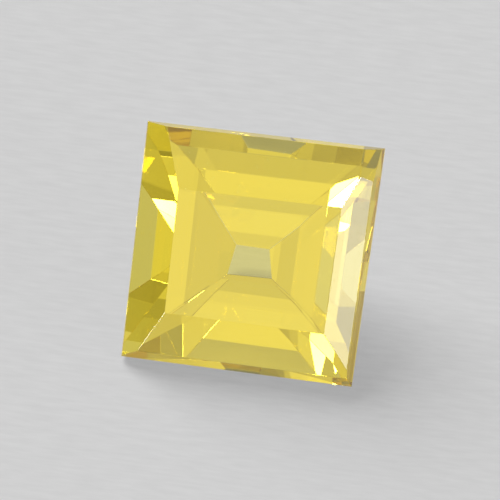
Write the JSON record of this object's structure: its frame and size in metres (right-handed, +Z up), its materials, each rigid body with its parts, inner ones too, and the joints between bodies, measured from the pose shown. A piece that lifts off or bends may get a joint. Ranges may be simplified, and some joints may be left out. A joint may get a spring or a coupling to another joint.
{
  "type": "step-cut yellow sapphire",
  "caption": "Loose square step-cut yellow sapphire, clear and faceted, lying on one pavilion facet with its table towards the viewer.",
  "frame": {"origin": "on the surface that the stone lies on, under the centre of its bounding box", "axes": "+Z up from the resting facet, table facing up and towards -Y, +X to the right as the table is seen"},
  "size_m": [0.0052, 0.004, 0.0042],
  "materials": {
    "sapphire": "polished clear yellow corundum, see-through"
  },
  "bodies": {
    "root": {"sapphire": "sapphire"}
  },
  "joints": []
}
